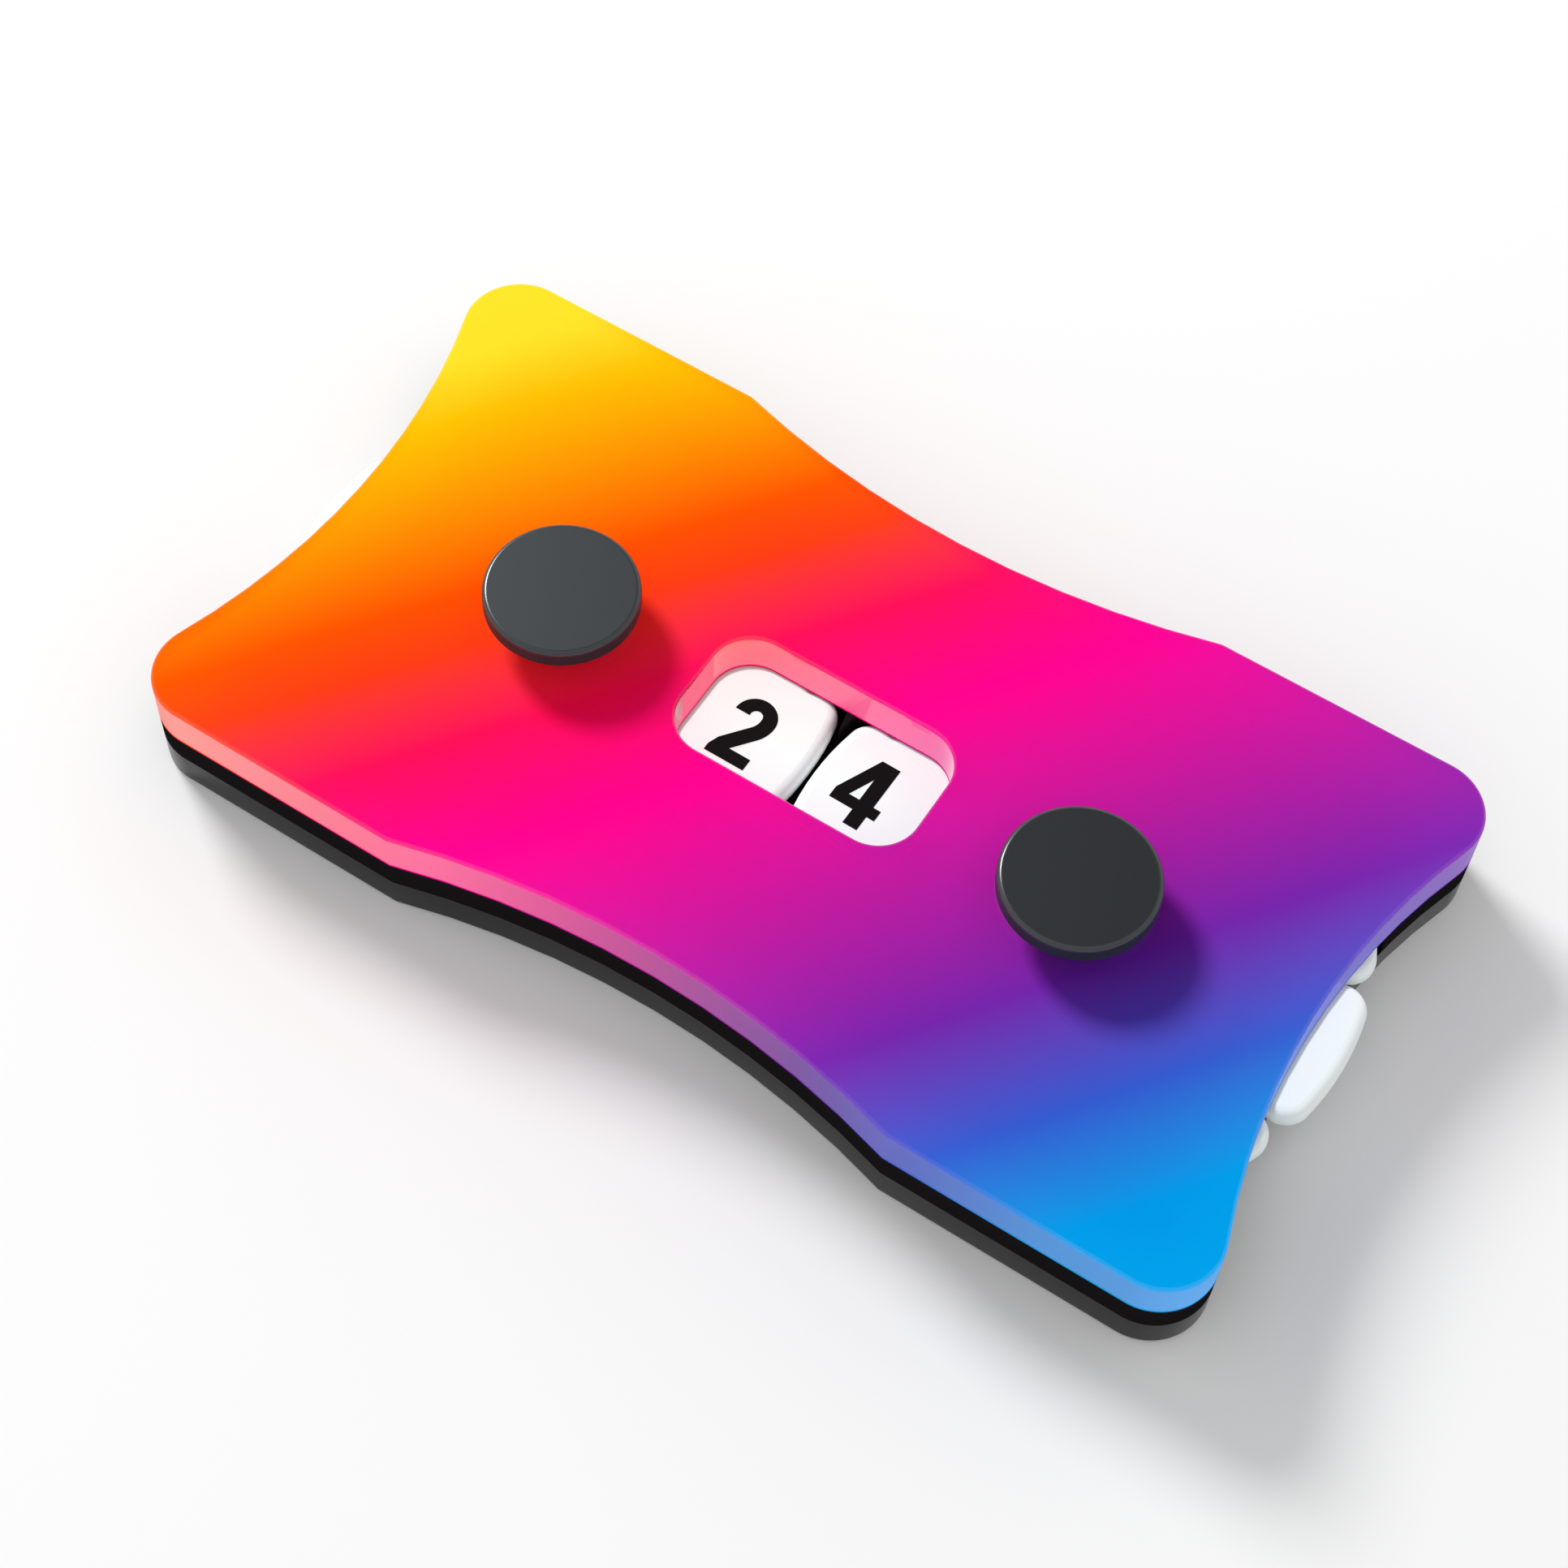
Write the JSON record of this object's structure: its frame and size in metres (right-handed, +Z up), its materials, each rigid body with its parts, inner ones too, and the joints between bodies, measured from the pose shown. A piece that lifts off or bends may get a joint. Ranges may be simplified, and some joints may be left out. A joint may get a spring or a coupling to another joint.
{
  "type": "life counter",
  "caption": "Flat pocket life counter for card games: number wheels turned by a finger at each short end show the score in a window.",
  "frame": {"origin": "middle of the back plate's underside, on the surface that the counter lies on", "axes": "+X along the counter from the left wheel to the right wheel, +Y towards its rear long side, +Z up through the face plate"},
  "size_m": [0.088, 0.0474, 0.0106],
  "materials": {
    "clear_acrylic": "clear cast acrylic with flame-polished edges",
    "printed_film": "opaque film printed with a yellow to magenta to blue gradient",
    "black_acrylic": "polished black acrylic",
    "adhesive_film": "black transfer adhesive",
    "dark_acrylic": "dark grey acrylic, satin edges",
    "white_plastic": "moulded white plastic, softly glossy",
    "cap_metal": "dark grey anodised, satin",
    "screw_steel": "black oxide steel",
    "nylon": "natural nylon",
    "spring_steel": "bright spring steel"
  },
  "bodies": {
    "housing": {"face_plate": "clear_acrylic", "print_film": "printed_film", "front_spacer": "black_acrylic", "rear_spacer": "black_acrylic", "front_adhesive": "adhesive_film", "rear_adhesive": "adhesive_film", "back_plate": "dark_acrylic", "left_pivot_cap": "cap_metal", "right_pivot_cap": "cap_metal", "left_pivot_screw": "screw_steel", "right_pivot_screw": "screw_steel", "left_pivot_sleeve": "nylon", "right_pivot_sleeve": "nylon", "left_top_washer": "nylon", "right_top_washer": "nylon", "left_wave_washer": "spring_steel", "right_wave_washer": "spring_steel"},
    "left_wheel": {"left_wheel": "white_plastic"},
    "right_wheel": {"right_wheel": "white_plastic"}
  },
  "joints": [
    {"name": "left_wheel_spin", "type": "hinge", "parent": "housing", "child": "left_wheel", "pos_m": [-0.02205, 0, 0.0044], "axis": [0, 0, 1], "continuous": true},
    {"name": "right_wheel_spin", "type": "hinge", "parent": "housing", "child": "right_wheel", "pos_m": [0.02205, 0, 0.0044], "axis": [0, 0, 1], "continuous": true}
  ]
}
